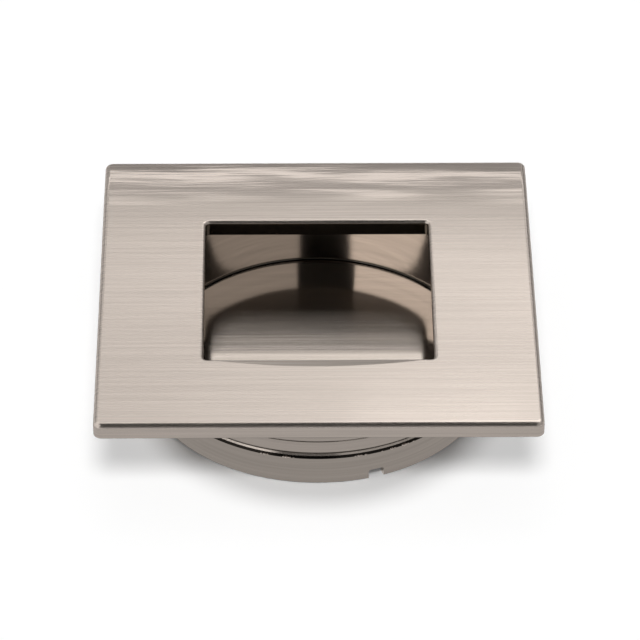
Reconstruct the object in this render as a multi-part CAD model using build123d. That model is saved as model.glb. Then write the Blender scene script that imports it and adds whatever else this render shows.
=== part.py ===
from build123d import *
import os
from math import radians, tan

# Flush pull for a sliding door: a square face with a finger opening, on a
# round body that is let into a hole bored in the door. Sizes in millimetres.
# The back of the face plate lies in the XY plane, on the door's surface.
# +Z comes out of the door, the body's axis is Z, and the finger pulls along -Y.

# Face plate casting: the square flange
plate_width = 50.0
plate_thickness = 1.92
plate_corner_radius = 0.9
plate_front_edge_radius = 0.6
plate_back_edge_radius = 0.18

# The face is flat, and polishing has rolled it off towards its far edge, +Y
roll_off_width = 6.0
roll_off_angle = 6.5

# Finger opening, narrowest at the face, because the die's core is drawn out
# of the back. Its middle is a little off the plate's.
opening_width = 26.0
opening_length = 25.7
opening_shift_x = 0.1
opening_shift_y = -0.33
opening_corner_radius = 0.5
opening_wall_lean = 0.08
opening_edge_radius = 0.4

# Crescent bevel that eases the opening's near edge for the finger
bevel_width = 1.45
bevel_angle = 6.5

# Round collar behind the flange
body_diameter = 40.9
collar_depth = 6.28
collar_wall = 0.7
parting_line_depth = 4.27
parting_line_width = 0.16
parting_line_cut = 0.07

# Joint between the collar and the cup, a V left by two eased edges
joint_chamfer_height = 0.46
joint_chamfer_width = 0.3
spigot_clearance = 0.05
spigot_top_gap = 0.2

# Finger cup that closes the back. The middle of its floor is a flat disc, and
# round it the floor falls away to the wall.
body_depth = 10.35
finger_depth = 7.95
floor_disc_radius = 12.8
floor_ring_drop = 0.5
floor_thickness = 0.9
floor_corner_radius = 0.35
cup_wall = 0.8
spigot_lead_in = 0.2
rim_lip_wall = 1.0
rim_chamfer = 0.15

# Notch in the cup's rear rim
notch_width = 1.8
notch_height = 1.25
notch_corner_radius = 0.3
notch_angle = 18.7

# Worked out from the sizes above
half_plate = plate_width / 2
half_opening = opening_width / 2
near_edge_y = opening_shift_y - opening_length / 2
body_radius = body_diameter / 2
collar_bore_radius = body_radius - collar_wall
spigot_radius = collar_bore_radius - spigot_clearance
cup_radius = spigot_radius - cup_wall
roll_off_drop = roll_off_width * tan(radians(roll_off_angle / 2))
floor_edge_depth = finger_depth + floor_ring_drop
floor_back_depth = floor_edge_depth + floor_thickness
lip_inner_radius = body_radius - rim_lip_wall
overcut = 1.0


def face_blank():
    """Square flange with a face that rolls off towards +Y."""
    edge_height = plate_thickness - roll_off_drop
    flat_end = half_plate - roll_off_width
    with BuildPart() as blank:
        with BuildSketch(Plane.YZ.offset(-half_plate)):
            with BuildLine():
                Polyline(
                    (half_plate, edge_height),
                    (half_plate, 0),
                    (-half_plate, 0),
                    (-half_plate, plate_thickness),
                    (flat_end, plate_thickness),
                )
                TangentArc((flat_end, plate_thickness), (half_plate, edge_height), tangent=(1, 0))
            make_face()
        extrude(amount=plate_width)
        fillet(blank.edges().filter_by(Axis.Z), plate_corner_radius)
        fillet(outline_edges(blank, front=True), plate_front_edge_radius)
        fillet(outline_edges(blank, front=False), plate_back_edge_radius)
    return blank.part


def outline_edges(blank, front):
    """Edges round the flange's outline, at its face or at its back."""
    inside = half_plate - plate_corner_radius
    middle = plate_thickness / 2

    def on_outline(edge):
        place = edge.center()
        if front:
            level = place.Z > middle
        else:
            level = place.Z < plate_back_edge_radius
        return level and max(abs(place.X), abs(place.Y)) > inside

    return blank.edges().filter_by(on_outline)


def opening_outline(height):
    """Outline of the finger opening at a height above the flange's back."""
    lean = opening_wall_lean * (plate_thickness - height) / plate_thickness
    with Locations((opening_shift_x, opening_shift_y)):
        RectangleRounded(
            opening_width + 2 * lean,
            opening_length + 2 * lean,
            opening_corner_radius,
        )


def finger_bevel():
    """Shallow cone that eases the near edge, widest in the middle of it."""
    half_chord = half_opening + opening_edge_radius
    arc_radius = (half_chord**2 + bevel_width**2) / (2 * bevel_width)
    axis_y = near_edge_y - bevel_width + arc_radius
    reach = 2 * bevel_width
    with BuildPart() as bevel:
        with BuildSketch(Plane.XZ.offset(-axis_y)):
            with BuildLine():
                Polyline(
                    (arc_radius, plate_thickness),
                    (arc_radius - reach, plate_thickness - reach * tan(radians(bevel_angle))),
                    (arc_radius - reach, plate_thickness),
                    close=True,
                )
            make_face()
        revolve(axis=Axis((0, axis_y, 0), (0, 0, 1)))
        with Locations((0, near_edge_y, plate_thickness)):
            Box(
                2 * half_chord,
                reach,
                2 * plate_thickness,
                align=(Align.CENTER, Align.MAX, Align.CENTER),
                mode=Mode.INTERSECT,
            )
    return Pos(opening_shift_x, 0, 0) * bevel.part


def collar():
    """Round wall behind the flange, with its lower edge eased."""
    cut_half = parting_line_width / 2
    with BuildPart() as wall:
        with BuildSketch(Plane.XZ):
            with BuildLine():
                Polyline(
                    (collar_bore_radius, 0),
                    (body_radius, 0),
                    (body_radius, cut_half - parting_line_depth),
                    (body_radius - parting_line_cut, -parting_line_depth),
                    (body_radius, -cut_half - parting_line_depth),
                    (body_radius, joint_chamfer_height - collar_depth),
                    (body_radius - joint_chamfer_width, -collar_depth),
                    (collar_bore_radius, -collar_depth),
                    close=True,
                )
            make_face()
        revolve(axis=Axis.Z)
    return wall.part


def make_face_plate():
    """Flange and collar, cast in one piece."""
    flange = face_blank()
    bevel = finger_bevel()
    wall = collar()
    with BuildPart() as casting:
        add(flange)
        with BuildSketch(Plane.XY.offset(-overcut)) as back_outline:
            opening_outline(-overcut)
        with BuildSketch(Plane.XY.offset(plate_thickness + overcut)) as front_outline:
            opening_outline(plate_thickness + overcut)
        loft([back_outline.sketch, front_outline.sketch], mode=Mode.SUBTRACT)
        face_edges = casting.faces().filter_by(Plane.XY).sort_by(Axis.Z)[-1].inner_wires().edges()
        fillet(face_edges, opening_edge_radius)
        add(bevel, mode=Mode.SUBTRACT)
        add(wall)
    return casting.part


def rim_notch():
    """Cutter for the notch through the lip of the cup's rear rim."""
    bottom = body_depth + overcut
    with BuildPart() as cutter:
        with BuildSketch(Plane.XZ.offset(lip_inner_radius - overcut)):
            with Locations((0, -(bottom + body_depth - notch_height) / 2)):
                Rectangle(notch_width, bottom - body_depth + notch_height)
        extrude(amount=rim_lip_wall + 2 * overcut)
        top_edges = cutter.edges().filter_by(Axis.Y).group_by(Axis.Z)[-1]
        fillet(top_edges, notch_corner_radius)
    return Rot(0, 0, notch_angle) * cutter.part


def make_finger_cup():
    """Cup that closes the back: a spigot, a shoulder, a floor and a rear lip."""
    notch = rim_notch()
    with BuildPart() as cup:
        with BuildSketch(Plane.XZ) as section:
            with BuildLine():
                Polyline(
                    (0, -finger_depth),
                    (floor_disc_radius, -finger_depth),
                    (cup_radius, -floor_edge_depth),
                    (cup_radius, -spigot_top_gap),
                    (spigot_radius - spigot_lead_in, -spigot_top_gap),
                    (spigot_radius, -spigot_top_gap - spigot_lead_in),
                    (spigot_radius, -collar_depth),
                    (body_radius - joint_chamfer_width, -collar_depth),
                    (body_radius, -collar_depth - joint_chamfer_height),
                    (body_radius, -body_depth),
                    (lip_inner_radius, -body_depth),
                    (lip_inner_radius, -floor_back_depth),
                    (0, -floor_back_depth),
                    close=True,
                )
            make_face()
            floor_corner = section.vertices().sort_by_distance((cup_radius, -floor_edge_depth, 0))[0]
            fillet(floor_corner, floor_corner_radius)
            rim_corner = section.vertices().sort_by_distance((body_radius, -body_depth, 0))[0]
            chamfer(rim_corner, rim_chamfer)
        revolve(axis=Axis.Z)
        add(notch, mode=Mode.SUBTRACT)
    return cup.part


os.makedirs("parts", exist_ok=True)
export_step(make_face_plate(), "parts/face_plate.step")
export_step(make_finger_cup(), "parts/finger_cup.step")
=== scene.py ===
# %% [markdown]
# # A flush pull in satin nickel
# A flush pull is the handle of a sliding door. Its square face lies on the door, and
# its round body sits in a bored hole, so that the door can slide past its frame.
# The engineering model gives the shape, so this lesson is about the studio and the
# metal: nearly all that the eye sees of brushed metal is what stands round it.
# Everything is in metres, as the frame is.

# %% Load the frame
import math
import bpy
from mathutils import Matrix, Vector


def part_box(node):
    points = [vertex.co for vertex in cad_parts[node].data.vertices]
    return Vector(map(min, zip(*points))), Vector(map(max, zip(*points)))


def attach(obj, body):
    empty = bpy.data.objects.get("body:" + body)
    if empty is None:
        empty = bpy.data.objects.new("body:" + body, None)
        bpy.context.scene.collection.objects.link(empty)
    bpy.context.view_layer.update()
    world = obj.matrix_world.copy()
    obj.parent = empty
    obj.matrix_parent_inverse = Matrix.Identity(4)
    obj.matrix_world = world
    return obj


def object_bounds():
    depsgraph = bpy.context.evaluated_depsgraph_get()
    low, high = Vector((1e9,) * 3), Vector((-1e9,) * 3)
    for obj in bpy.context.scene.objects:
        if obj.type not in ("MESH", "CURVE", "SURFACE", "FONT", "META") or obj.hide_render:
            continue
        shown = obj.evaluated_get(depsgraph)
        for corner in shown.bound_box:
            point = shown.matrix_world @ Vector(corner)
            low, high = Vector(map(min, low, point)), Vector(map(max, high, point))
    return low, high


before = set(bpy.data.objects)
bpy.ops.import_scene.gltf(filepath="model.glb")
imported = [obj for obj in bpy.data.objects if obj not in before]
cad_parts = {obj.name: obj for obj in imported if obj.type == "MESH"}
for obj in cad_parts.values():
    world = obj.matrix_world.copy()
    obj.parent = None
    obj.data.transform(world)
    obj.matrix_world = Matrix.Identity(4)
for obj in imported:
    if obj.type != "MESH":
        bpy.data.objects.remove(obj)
from types import SimpleNamespace

import bmesh
import bpy
from mathutils import Matrix, Vector

MM = 0.001
cad_box = [list(corner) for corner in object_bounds()]
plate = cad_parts["face_plate"]
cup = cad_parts["finger_cup"]
print("model box in mm:", [[round(value / MM, 2) for value in corner] for corner in cad_box])

# %% [markdown]
# ## Helpers
# Colours are written as the sRGB hex values that a paint program shows. Shaders work
# in linear light, so one function turns one into the other. Another adds a node, sets
# it up and links what comes in, which keeps each material short to read.

# %% Colour and node helpers
def linear(code):
    """Turns an sRGB hex colour into the linear RGBA that shaders use."""
    shares = [int(code[i:i + 2], 16) / 255 for i in (1, 3, 5)]
    curve = [s / 12.92 if s <= 0.04045 else ((s + 0.055) / 1.055) ** 2.4 for s in shares]
    return (*curve, 1.0)


def add_node(tree, kind, inputs=None, **settings):
    """Adds a node. An input given as an output socket is linked, any other is set."""
    made = tree.nodes.new("ShaderNode" + kind)
    for name, value in settings.items():
        setattr(made, name, value)
    for name, value in (inputs or {}).items():
        if isinstance(value, bpy.types.NodeSocket):
            tree.links.new(value, made.inputs[name])
        else:
            made.inputs[name].default_value = value
    return made


def new_tree(owner):
    """Gives a material or a world an empty node tree."""
    owner.use_nodes = True
    owner.node_tree.nodes.clear()
    return owner.node_tree


def new_material(name):
    """A material with an empty node tree."""
    material = bpy.data.materials.new(name)
    return material, new_tree(material)


def new_object(name, data):
    """An object in the scene's collection."""
    made = bpy.data.objects.new(name, data)
    bpy.context.collection.objects.link(made)
    return made


def times(tree, first, second):
    """One number times another."""
    return add_node(tree, "Math", {0: first, 1: second}, operation="MULTIPLY").outputs[0]


def times_plus(tree, value, factor, added):
    """A number times a factor, plus another number."""
    return add_node(tree, "Math", {
        0: value, 1: factor, 2: added}, operation="MULTIPLY_ADD").outputs[0]


def larger(tree, first, second):
    """The larger of two numbers."""
    return add_node(tree, "Math", {0: first, 1: second}, operation="MAXIMUM").outputs[0]


WHITE = linear("#ffffff")
print("a half-bright grey in linear light:", round(linear("#808080")[0], 3))

# %% [markdown]
# ## Camera
# The camera was fitted to the four edges of the square face in the photograph, and its
# numbers are written down as they came out: 38 degrees above the table, with a long
# lens. It stands half a metre away if the face is 50 mm wide, which is an estimate. It
# looks at a point on the face, and the three angles turn it round that point.

# %% Camera
CAMERA_DISTANCE = 0.50299
CAMERA_ELEVATION = math.radians(37.976)
CAMERA_TURN = math.radians(-0.619)
CAMERA_ROLL = math.radians(0.168)
CAMERA_LENS = 248.67
FACE_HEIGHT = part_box("face_plate")[1][2]
LOOK_AT = Vector((0.277 * MM, -6.165 * MM, FACE_HEIGHT))


def make_camera():
    """Places the camera round the point that it looks at."""
    data = bpy.data.cameras.new("camera")
    data.lens = CAMERA_LENS
    camera = new_object("camera", data)
    level = math.cos(CAMERA_ELEVATION)
    back = Vector((
        math.sin(CAMERA_TURN) * level,
        -math.cos(CAMERA_TURN) * level,
        math.sin(CAMERA_ELEVATION),
    ))
    aim = (-back).to_track_quat("-Z", "Y").to_matrix().to_4x4()
    roll = Matrix.Rotation(CAMERA_ROLL, 4, "Z")
    camera.matrix_world = Matrix.Translation(LOOK_AT + back * CAMERA_DISTANCE) @ aim @ roll
    bpy.context.scene.camera = camera
    return camera


camera = make_camera()
print("camera at", [round(value, 3) for value in camera.matrix_world.translation])

# %% [markdown]
# ## A white studio
# The background is white paper. It is white because the world shows full white to the
# camera and in reflections, while it lights the pull at a plain level: more light would
# burn out the metal. The Light Path node tells the two kinds of ray apart.

# %% Rays that see white
def shows_white(tree):
    """1 for the rays that show the white background: in view, in metal or in glass."""
    ray = add_node(tree, "LightPath").outputs
    in_view_or_metal = larger(tree, ray["Is Camera Ray"], ray["Is Glossy Ray"])
    return larger(tree, in_view_or_metal, ray["Is Transmission Ray"])


# %% [markdown]
# The world's own light only fills the shade. It is kept low, because the two lamps
# below do most of the work, and the shadow on the paper has to stay soft and clear.

# %% World
FILL_LIGHT = 0.13


def make_world():
    """Plain fill light from all sides, and white where it is seen."""
    world = bpy.data.worlds.new("studio")
    bpy.context.scene.world = world
    tree = new_tree(world)
    fill = add_node(tree, "Background", {"Color": WHITE, "Strength": FILL_LIGHT})
    white = add_node(tree, "Background", {"Color": WHITE, "Strength": 1.0})
    mixed = add_node(tree, "MixShader", {
        0: shows_white(tree), 1: fill.outputs[0], 2: white.outputs[0]})
    add_node(tree, "OutputWorld", {"Surface": mixed.outputs[0]})


make_world()
print("fill light:", FILL_LIGHT)

# %% [markdown]
# ## Two soft lamps
# The photograph's shadow hugs the pull. The main lamp stands high over the camera, so
# the plate hides its own shade but for a soft band under the front edge. The foot of
# the body is darkest in front, so a second lamp shines from behind, and only the cup
# casts its shadow there. Both are suns with a wide angle, which gives a soft edge with
# one setting. Both are kept out of the metal's reflections, because the cards further
# on are their picture there.

# %% Lamps
def make_lamp(name, strength, angle, towards, casters):
    """A wide sun. Where casters are named, only they cast its shadow."""
    data = bpy.data.lights.new(name, "SUN")
    data.energy = strength
    data.angle = math.radians(angle)
    lamp = new_object(name, data)
    aim = Vector(towards).normalized().to_track_quat("-Z", "Y")
    lamp.matrix_world = aim.to_matrix().to_4x4()
    lamp.visible_glossy = False
    if casters:
        group = bpy.data.collections.new(name + "_casters")
        for caster in casters:
            group.objects.link(caster)
        lamp.light_linking.blocker_collection = group
    return lamp


LAMPS = (
    # name, strength, width in degrees, where it shines, what casts its shadow (or all)
    ("front_lamp", 1.75, 17, (0.0, 0.57, -0.82), ()),
    ("back_lamp", 1.55, 24, (0.02, -0.42, -0.91), (cup,)),
)
for settings in LAMPS:
    lamp = make_lamp(*settings)
    print(lamp.name, "has strength", round(lamp.data.energy, 2))

# %% [markdown]
# ## Table
# The pull stands on a white sheet. Its paper is lit like anything else, so it keeps the
# shadow, and a share of plain white is mixed in where it is seen, which makes the open
# sheet as white as the background behind it.

# %% Table
TABLE_SIZE = 3.0
TABLE_HEIGHT = cad_box[0][2]
TABLE_GLOW = 0.1
PAPER = linear("#fdfdfd")


def make_table():
    """A white sheet under the pull."""
    half = TABLE_SIZE / 2
    mesh = bpy.data.meshes.new("table")
    corners = [
        (x * half, y * half, TABLE_HEIGHT) for x, y in ((-1, -1), (1, -1), (1, 1), (-1, 1))]
    mesh.from_pydata(corners, [], [(0, 1, 2, 3)])
    table = new_object("table", mesh)
    material, tree = new_material("white_paper")
    paper = add_node(tree, "BsdfDiffuse", {"Color": PAPER})
    glow = add_node(tree, "Emission", {"Color": WHITE, "Strength": 1.0})
    share = times(tree, shows_white(tree), TABLE_GLOW)
    surface = add_node(tree, "MixShader", {0: share, 1: paper.outputs[0], 2: glow.outputs[0]})
    add_node(tree, "OutputMaterial", {"Surface": surface.outputs[0]})
    mesh.materials.append(material)


make_table()
print("table at", round(TABLE_HEIGHT / MM, 2), "mm")

# %% [markdown]
# ## Cards and flags
# A mirror has no look of its own, and satin nickel is nearly one. The real studio isn't
# seen, so this one was worked out from what the metal mirrors and tuned until the tones
# agreed: a soft box behind the pull makes the face pale, black flags overhead and behind
# the camera make the dark edges and the black band in the cup, and cards at the sides
# make the walls grey. Each is a patch of a sphere round the pull, so that it is placed by
# two angles: turns from the front round to the right, and heights above the table.
# They are seen in the metal only, so that they don't change the light on the paper.
# Some grow brighter to the right, as a soft box does that is lit from there.

# %% How a card is made
CARD_STEP = 5.0
DIMMEST, BRIGHTEST = 0.7, 1.1


def finish_card(name, mesh, strength, brighter_right=0.0):
    """Lights a card and keeps it to the reflections."""
    card = new_object(name, mesh)
    card.visible_camera = False
    card.visible_diffuse = False
    card.visible_shadow = False
    material, tree = new_material(name)
    light = add_node(tree, "Emission", {"Color": WHITE, "Strength": strength})
    if brighter_right:
        place = add_node(tree, "SeparateXYZ", {0: add_node(tree, "TexCoord").outputs["Object"]})
        rise = times_plus(tree, place.outputs["X"], strength * brighter_right, strength)
        level = add_node(tree, "Clamp", {
            "Value": rise, "Min": strength * DIMMEST, "Max": strength * BRIGHTEST})
        tree.links.new(level.outputs[0], light.inputs["Strength"])
    add_node(tree, "OutputMaterial", {"Surface": light.outputs[0]})
    mesh.materials.append(material)


def make_card(name, turns, heights, distance, strength, brighter_right=0.0):
    """A card on a sphere round the pull, as bright as its strength says."""
    columns = max(2, round((turns[1] - turns[0]) / CARD_STEP))
    rows = max(2, round((heights[1] - heights[0]) / CARD_STEP))
    points, faces = [], []
    for row in range(rows + 1):
        height = math.radians(heights[0] + (heights[1] - heights[0]) * row / rows)
        for column in range(columns + 1):
            turn = math.radians(turns[0] + (turns[1] - turns[0]) * column / columns)
            points.append((
                distance * math.cos(height) * math.sin(turn),
                -distance * math.cos(height) * math.cos(turn),
                distance * math.sin(height),
            ))
    width = columns + 1
    for row in range(rows):
        for column in range(columns):
            first = row * width + column
            faces.append((first, first + 1, first + width + 1, first + width))
    mesh = bpy.data.meshes.new(name)
    mesh.from_pydata(points, [], faces)
    finish_card(name, mesh, strength, brighter_right)


print("a card is drawn in steps of", CARD_STEP, "degrees")

# %% [markdown]
# The heights follow from the mirror's law: the camera stands 38 degrees up, so a level
# face mirrors what stands 38 degrees up behind it, and every degree of tilt moves that
# by two. The face mirrors the pale wall just under the soft box, at 37 to 38 degrees.
# Towards the far edge the roll-off tilts by up to 6.5 degrees and mirrors lower and
# lower, down to 25 degrees. On its way it meets a dark gap and a low light, which draw
# the dark strip and the bright one there. Where two cards overlap, the nearer one shows.

# %% The studio's cards
CARDS = (
    # name, turns, heights, distance, strength, rise per metre to the right
    ("overhead_flag", (0, 360), (67, 90), 1.00, 0.0),
    ("front_high_flag", (-27, 13), (56, 68), 0.90, 0.08),
    ("front_flag", (-27, 13), (22, 56.2), 0.91, 0.0),
    ("front_low_flag", (-27, 13), (-1, 22.2), 0.92, 0.35),
    ("right_card", (12, 126), (-1, 68), 0.95, 0.39),
    ("left_card", (-126, -26), (-1, 68), 0.95, 0.95),
    ("back_softbox", (125, 235), (41.0, 67.5), 0.90, 1.7, 0.8),
    ("back_hot_spot", (174.0, 178.4), (39.9, 42.0), 0.895, 1.5),
    ("back_wall_high", (125, 235), (37.9, 41.2), 0.905, 1.02, 0.8),
    ("back_wall_low", (125, 235), (36.3, 38.0), 0.908, 1.3, 0.8),
    ("back_gap", (125, 235), (31.2, 36.4), 0.91, 0.42),
    ("back_low_light", (125, 235), (27.8, 31.5), 0.92, 1.35),
    ("back_horizon", (125, 235), (-1, 27.9), 0.93, 0.23),
)
for card in CARDS:
    make_card(*card)
print(len(CARDS), "cards and flags")

# %% [markdown]
# The sheet round the body lies in the pull's own shade, and the edges and the body
# mirror just that part of it. Grey rings on the table, seen in the metal only, stand
# for it, darkest near the body.

# %% Shaded sheet in the reflections
SHADE_LIFT = 0.02 * MM
SHADE_SIDES = 96
SHADE_RINGS = (
    # inner and outer radius in mm, share of white
    (20.6, 25.3, 0.35),
    (25.3, 36.0, 0.45),
    (36.0, 160.0, 0.54),
)


def make_shade_ring(inner, outer, level):
    """A flat grey ring round the body, just above the table."""
    height = TABLE_HEIGHT + SHADE_LIFT
    points, faces = [], []
    for step in range(SHADE_SIDES):
        turn = 2 * math.pi * step / SHADE_SIDES
        for radius in (inner * MM, outer * MM):
            points.append((radius * math.cos(turn), radius * math.sin(turn), height))
        first, after = 2 * step, 2 * ((step + 1) % SHADE_SIDES)
        faces.append((first, first + 1, after + 1, after))
    mesh = bpy.data.meshes.new("shaded_sheet")
    mesh.from_pydata(points, [], faces)
    finish_card("shaded_sheet", mesh, level)


for shade_ring in SHADE_RINGS:
    make_shade_ring(*shade_ring)
print(len(SHADE_RINGS), "rings of shaded sheet")

# %% [markdown]
# ## Satin nickel
# The plating is nickel, which is a warm grey, and a belt of fine grit has scratched it
# in one direction. Between the scratches the metal is still a mirror, and a scratch
# spreads the reflection across the brushing, never along it. So the finish is two
# metal shaders in one: a sharp one, and a broad anisotropic one whose tangent points
# across the scratches. How much of each shows follows a noise drawn out along the
# brushing, which gives the fine lines.
# Real scratches are a few hundredths of a millimetre wide. They are drawn coarser, at
# 0.16 and 0.38 mm, because one pixel of the picture covers 0.12 mm of the face.

# %% The small steps that the finish is made of
# A line is given as its length, its width and the octaves of finer lines on it.
FINE_LINE = (30.0 * MM, 0.16 * MM, 3.0)
COARSE_LINE = (26.0 * MM, 0.38 * MM, 2.0)
NOISE_ROUGHNESS = 0.6
# Where the Mix node has its two inputs and its result, for each kind of data.
MIX_SOCKETS = {"FLOAT": (2, 3, 0), "VECTOR": (4, 5, 1), "RGBA": (6, 7, 2)}


def less(tree, value, limit):
    """1 where a value is under a limit, and 0 elsewhere."""
    return add_node(tree, "Math", {0: value, 1: limit}, operation="LESS_THAN").outputs[0]


def more(tree, value, limit):
    """1 where a value is over a limit, and 0 elsewhere."""
    return add_node(tree, "Math", {0: value, 1: limit}, operation="GREATER_THAN").outputs[0]


def within(tree, value, low, high):
    """1 where a value lies between two limits."""
    return times(tree, more(tree, value, low), less(tree, value, high))


def ramp(tree, value, low, high, start=0.0, end=1.0, curve="LINEAR"):
    """Goes from start to end while a value goes from low to high."""
    return add_node(tree, "MapRange", {
        "Value": value, "From Min": low, "From Max": high, "To Min": start, "To Max": end},
        interpolation_type=curve).outputs[0]


def vector_step(tree, operation, *inputs):
    """One step of vector maths, with its inputs in order."""
    return add_node(tree, "VectorMath", dict(enumerate(inputs)), operation=operation).outputs[0]


def between(tree, kind, factor, first, second):
    """Mixes two numbers, two vectors or two colours."""
    one, other, result = MIX_SOCKETS[kind]
    mixed = add_node(tree, "Mix", {0: factor, one: first, other: second}, data_type=kind)
    return mixed.outputs[result]


def drawn_noise(tree, place, scale, detail):
    """Noise with its own scale on each axis."""
    drawn = add_node(tree, "Mapping", {"Vector": place, "Scale": scale})
    return add_node(tree, "TexNoise", {
        "Vector": drawn.outputs[0], "Scale": 1.0, "Detail": detail,
        "Roughness": NOISE_ROUGHNESS}).outputs[0]


print("a scratch is drawn", round(FINE_LINE[1] / MM, 2), "mm wide")

# %% [markdown]
# ### Where on the metal
# One material covers a whole casting, and its finish changes from place to place: the
# face is brushed, the body is turned, the underside is as it came out of the die. So
# the material first works out where it is and which way the surface looks, and the
# steps below share that. The way it looks is read off the Z of its normal: 1 is level
# and facing up, 0 is upright and -1 is the underside.

# %% Places
# The cup's floor: where it bends, the levels that it lies between and how far it goes.
BEND_RADII = (10.6 * MM, 14.8 * MM)
FLOOR_LEVELS = (-8.46 * MM, -7.9 * MM)
FLOOR_RADIUS = 18.4 * MM
# The normal's Z where an upright wall ends and level metal begins, and underneath.
UPRIGHT_TO_LEVEL = (0.15, 0.45)
UNDERSIDE = -0.5
BRUSHING = (1.0, 0.0, 0.0)
UP = (0.0, 0.0, 1.0)


def read_surface(tree):
    """Works out the place, the tilt and the brushing at each point."""
    at = SimpleNamespace()
    at.place = add_node(tree, "TexCoord").outputs["Object"]
    at.normal = add_node(tree, "NewGeometry").outputs["Normal"]
    at.x, at.y, at.z = add_node(tree, "SeparateXYZ", {0: at.place}).outputs
    at.tilt = add_node(tree, "SeparateXYZ", {0: at.normal}).outputs["Z"]
    at.faces_up = ramp(tree, at.tilt, *UPRIGHT_TO_LEVEL)
    at.faces_down = less(tree, at.tilt, UNDERSIDE)

    level = add_node(tree, "CombineXYZ", {"X": at.x, "Y": at.y}).outputs[0]
    at.radius = add_node(tree, "VectorMath", {0: level}, operation="LENGTH").outputs["Value"]
    at.outward = vector_step(tree, "NORMALIZE", level)
    at.past_bend = ramp(tree, at.radius, *BEND_RADII, curve="SMOOTHSTEP")
    in_cup = less(tree, at.radius, FLOOR_RADIUS)
    at.on_floor = times(tree, within(tree, at.z, *FLOOR_LEVELS), in_cup)

    round_way = add_node(tree, "CombineXYZ", {"X": times(tree, at.y, -1.0), "Y": at.x}).outputs[0]
    round_way = vector_step(tree, "NORMALIZE", round_way)
    brush = between(tree, "VECTOR", at.faces_up, round_way, BRUSHING)
    at.across = vector_step(tree, "CROSS_PRODUCT", at.normal, brush)
    return at


def brushing_lines(tree, at, line):
    """Lines along X where the metal faces up, and round the body where it doesn't."""
    length, width, detail = line
    long, narrow = 1 / length, 1 / width
    flat_lines = drawn_noise(tree, at.place, (long, narrow, long), detail)
    round_lines = drawn_noise(tree, at.place, (long, long, narrow), detail)
    return between(tree, "FLOAT", at.faces_up, round_lines, flat_lines)


print("the floor bends between", [round(radius / MM, 1) for radius in BEND_RADII], "mm out")

# %% [markdown]
# ### Relief
# The cup's floor is a disc with a fall round it. The solid has an edge between them,
# and on the casting it is a soft bend, so the normal is turned little by little there.
# The scratches are a bump of a thousandth of a millimetre. Near the far edge of the face
# the photograph's reflection is broken into patches and streaks. Shallow waves, 20 mm
# long and 7 mm wide, with finer streaks on them, give patches of that kind, though not
# the same ones. The middle of the noise is taken off it, so that the waves fade in
# without tilting the face.

# %% Relief
# The floor falls by 0.082 mm in each millimetre outward, as it does in the solid.
FLOOR_FALL = 0.082
SCRATCH_DEPTH = 0.004 * MM
SCRATCH_STRENGTH = 0.25
FAR_ZONE = (16.0 * MM, 20.0 * MM)
WAVE = (20.0 * MM, 6.67 * MM, 1.0)
STREAK = (12.5 * MM, 0.714 * MM, 2.0)
STREAK_SHARE = 0.07
WAVE_DEPTH = 0.18 * MM
NOISE_MIDDLE = 0.5


def bent_floor(tree, at):
    """The normal, leant outward past the bend in the cup's floor."""
    lean = add_node(tree, "VectorMath", {
        0: at.outward, "Scale": times(tree, at.past_bend, FLOOR_FALL)}, operation="SCALE")
    leant = vector_step(tree, "ADD", lean.outputs[0], UP)
    leant = vector_step(tree, "NORMALIZE", leant)
    return between(tree, "VECTOR", at.on_floor, at.normal, leant)


def far_noise(tree, at, line):
    """Noise drawn out along the brushing, the same at every height."""
    length, width, detail = line
    return drawn_noise(tree, at.place, (1 / length, 1 / width, 0.0), detail)


def relief(tree, at, lines):
    """The normal with the floor's bend, the scratches and the waves."""
    scratched = add_node(tree, "Bump", {
        "Height": lines, "Strength": SCRATCH_STRENGTH, "Distance": SCRATCH_DEPTH,
        "Normal": bent_floor(tree, at)})
    waves = far_noise(tree, at, WAVE)
    streaks = far_noise(tree, at, STREAK)
    height = times_plus(tree, streaks, STREAK_SHARE, waves)
    height = times_plus(tree, height, 1.0, -NOISE_MIDDLE * (1 + STREAK_SHARE))
    height = times(tree, height, ramp(tree, at.y, *FAR_ZONE))
    return add_node(tree, "Bump", {
        "Height": height, "Strength": 1.0, "Distance": WAVE_DEPTH,
        "Normal": scratched.outputs[0]}).outputs[0]


print("a scratch is", round(SCRATCH_DEPTH * SCRATCH_STRENGTH / MM, 4), "mm deep")

# %% [markdown]
# ### Colour
# Deep scratches hold a little shade, so coarser lines darken the nickel by a tenth.
# The opening's walls are painted darker, as painted shade that deepens their dark
# reflection; a belt doesn't reach them either. The underside isn't
# in the photograph, and is taken to be bare casting. Thin rings of painted shade darken
# the joint round the body and the corner of the cup's floor, where shade falls.

# %% Colour
NICKEL = linear("#e2d6cb")
BRUSHED_NICKEL = linear("#d8ccc2")
# Painted shade: a darker nickel for the opening's walls and the floor's corner.
SHADED_NICKEL = linear("#6e675f")
CAST_ZINC = linear("#5f5953")
# Painted shade: the dark of the rings in the joint and the floor's corner.
PAINTED_CREASE_SHADE = linear("#2b2723")
DEEP_SHADE = 0.9
DEEP_TO_SHALLOW = (0.35, 0.65)
# The opening's corners lie within this distance of the axis.
OPENING_REACH = 20.0 * MM
# Rings of painted shade round the axis, in the joint and in the floor's corner.
PAINTED_SHADE_RINGS = (
    # lowest, highest, nearest and furthest from the axis in mm, and the colour
    (-6.77, -6.47, 20.1, 20.6, PAINTED_CREASE_SHADE),
    (-8.40, -8.28, 18.5, 19.0, PAINTED_CREASE_SHADE),
    (-8.28, -8.08, 18.5, 19.0, SHADED_NICKEL),
)


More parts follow.
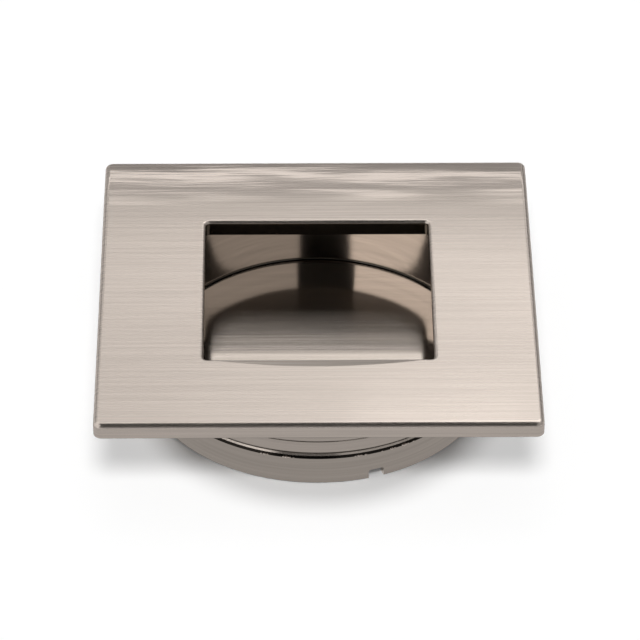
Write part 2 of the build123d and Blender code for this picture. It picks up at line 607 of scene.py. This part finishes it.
def nickel_colour(tree, at, tone):
    """The metal's colour, shaded in the scratches, with painted shade on the walls and joints."""
    coarse = brushing_lines(tree, at, COARSE_LINE)
    shaded = (*(DEEP_SHADE * share for share in tone[:3]), 1.0)
    colour = between(tree, "RGBA", ramp(tree, coarse, *DEEP_TO_SHALLOW), shaded, tone)
    # Painted shade on the opening's walls: they get the darker nickel.
    upright = times_plus(tree, at.faces_up, -1.0, 1.0)
    in_plate = times(tree, less(tree, at.radius, OPENING_REACH), more(tree, at.z, 0.0))
    shaded_walls = times(tree, in_plate, upright)
    colour = between(tree, "RGBA", shaded_walls, colour, SHADED_NICKEL)
    colour = between(tree, "RGBA", at.faces_down, colour, CAST_ZINC)
    # Painted shade in the joint and the corner of the cup's floor.
    for low, high, near, far, shade_colour in PAINTED_SHADE_RINGS:
        level = within(tree, at.z, low * MM, high * MM)
        ring = times(tree, level, within(tree, at.radius, near * MM, far * MM))
        colour = between(tree, "RGBA", ring, colour, shade_colour)
    return colour


print(len(PAINTED_SHADE_RINGS), "darkened rings")

# %% [markdown]
# ### Mirror and scratches
# How densely the metal is scratched decides its share of the broad shader. The shares
# were fitted to the photograph's tones: high at the near left of the face, low at the
# near right and at the far edge, and highest on the rounded edges. An uneven press of
# the belt would leave that, but the light may be uneven instead. The walls and the ring
# of the cup's floor look smoother, as turned metal does, and are nearly mirrors.

# %% Share of the scratches
# How the share changes per metre to the right on the plate's middle line, and how much
# more that is for each metre towards the far edge.
PRESSURE_PER_METRE = -7.2
PRESSURE_TURN = 0.39 / MM
FAR_EASE = (16.5 * MM, 19.5 * MM)
FAR_SHARE = 0.6
EDGE_SHARE = 0.85
RING_SHARE = 0.1
# The normal's Z from the worn edges to the flat of the face.
EDGE_TO_FACE = (0.95, 0.99)
LINE_RANGE = (0.3, 0.7)
LINE_CONTRAST = (0.6, 1.4)


def scratched_share(tree, at, lines, face_share, wall_share):
    """How much of the surface is scratches, from 0 to 1."""
    slope = times_plus(tree, at.y, PRESSURE_TURN, PRESSURE_PER_METRE)
    face = times_plus(tree, at.x, slope, face_share)
    face = times(tree, face, ramp(tree, at.y, *FAR_EASE, 1.0, FAR_SHARE))
    face = between(tree, "FLOAT", ramp(tree, at.tilt, *EDGE_TO_FACE), EDGE_SHARE, face)
    share = between(tree, "FLOAT", at.faces_up, wall_share, face)
    floor_ring = times(tree, at.past_bend, at.on_floor)
    share = between(tree, "FLOAT", floor_ring, share, RING_SHARE)
    return times(tree, share, ramp(tree, lines, *LINE_RANGE, *LINE_CONTRAST))


print("the fine lines multiply the share by", LINE_CONTRAST[0], "to", LINE_CONTRAST[1])

# %% [markdown]
# ### The finish put together
# The sharp shader is the metal between the scratches, and the broad one is the
# scratches. The upright walls and the bare underside are places in the same material,
# so that it covers a whole casting without seams.

# %% Satin nickel
CAST_ROUGHNESS = 0.45
STRETCH = 0.95


def satin_nickel(name, tone, sharp, broad, face_share, wall_share, wall_roughness):
    """A sharp and a broad metal shader, mixed by how densely the metal is scratched."""
    material, tree = new_material(name)
    at = read_surface(tree)
    lines = brushing_lines(tree, at, FINE_LINE)
    normal = relief(tree, at, lines)
    colour = nickel_colour(tree, at, tone)
    roughness = between(tree, "FLOAT", at.faces_up, wall_roughness, sharp)
    roughness = between(tree, "FLOAT", at.faces_down, roughness, CAST_ROUGHNESS)
    mirror = add_node(tree, "BsdfPrincipled", {
        "Base Color": colour, "Metallic": 1.0, "Roughness": roughness, "Normal": normal})
    scratched = add_node(tree, "BsdfPrincipled", {
        "Base Color": colour, "Metallic": 1.0, "Roughness": broad, "Anisotropic": STRETCH,
        "Tangent": at.across, "Normal": normal})
    surface = add_node(tree, "MixShader", {
        0: scratched_share(tree, at, lines, face_share, wall_share),
        1: mirror.outputs[0], 2: scratched.outputs[0]})
    add_node(tree, "OutputMaterial", {"Surface": surface.outputs[0]})
    return material


print("the scratches stretch a reflection across them by", STRETCH, "of the most possible")

# %% [markdown]
# The plate's scratches spread a reflection wider than those on the cup's floor, and the
# cup is a little lighter. The shares and the widths were set by comparing renders with
# the photograph, tone by tone.

# %% Finishes of the two castings
FINISHES = (
    (plate, satin_nickel(
        "brushed_satin_nickel", BRUSHED_NICKEL, sharp=0.085, broad=0.3,
        face_share=0.5, wall_share=0.03, wall_roughness=0.12)),
    (cup, satin_nickel(
        "plated_satin_nickel", NICKEL, sharp=0.1, broad=0.24,
        face_share=0.6, wall_share=0.02, wall_roughness=0.09)),
)
for casting, finish in FINISHES:
    casting.data.materials.clear()
    casting.data.materials.append(finish)
    print(casting.name, "has", finish.name, "with", len(finish.node_tree.nodes), "nodes")

# %% [markdown]
# ## Beads on the joint
# The photograph shows small bright beads along the joint between the two castings, most
# of them in a few places. They are taken for plating, which builds up on a rough edge.
# They are placed one by one. Each is a ball, drawn out a little
# along the joint and sunk by half into the cup's edge. They have their own finish,
# because the dark ring of the joint must not cover them.

# %% Plating beads
BEAD_HEIGHT = -6.74 * MM
BEAD_RADIUS = 20.42 * MM
BEAD_STRETCH, BEAD_THICKNESS = 1.1, 0.8
BEAD_ROUGHNESS = 0.3
BEADS = (
    # angle round the body from the front in degrees, half width in mm
    (-18.4, 0.14), (-17.2, 0.20), (-16.3, 0.12), (-11.0, 0.18), (-10.1, 0.24), (-9.2, 0.16),
    (-7.9, 0.10), (11.8, 0.12), (12.9, 0.20), (13.7, 0.14), (15.2, 0.16), (20.6, 0.10),
    (23.9, 0.20), (25.0, 0.12), (28.3, 0.30), (29.6, 0.14), (31.8, 0.12),
)


def make_beads():
    """Small drawn-out balls along the joint's lower edge."""
    shape = bmesh.new()
    for degrees, half_width in BEADS:
        turn = math.radians(degrees)
        centre = Vector((
            BEAD_RADIUS * math.sin(turn), -BEAD_RADIUS * math.cos(turn), BEAD_HEIGHT))
        long, thick = half_width * BEAD_STRETCH * MM, half_width * BEAD_THICKNESS * MM
        size = Matrix.Diagonal((long, thick, thick, 1.0))
        place = Matrix.Translation(centre) @ Matrix.Rotation(turn, 4, "Z") @ size
        bmesh.ops.create_icosphere(shape, subdivisions=2, radius=1.0, matrix=place)
    mesh = bpy.data.meshes.new("plating_beads")
    shape.to_mesh(mesh)
    shape.free()
    mesh.shade_smooth()
    beads = new_object("plating_beads", mesh)
    material, tree = new_material("bright_nickel_beads")
    nickel = add_node(tree, "BsdfPrincipled", {
        "Base Color": NICKEL, "Metallic": 1.0, "Roughness": BEAD_ROUGHNESS})
    add_node(tree, "OutputMaterial", {"Surface": nickel.outputs[0]})
    mesh.materials.append(material)
    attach(beads, "root")
    return beads


beads = make_beads()
print(len(BEADS), "beads of plating, with", len(beads.data.vertices), "vertices")

# %% [markdown]
# ## Colour management
# The Standard view shows a colour as it is written, so paper of full white stays white.

# %% Colour management
bpy.context.scene.view_settings.view_transform = "Standard"
print("view transform:", bpy.context.scene.view_settings.view_transform)
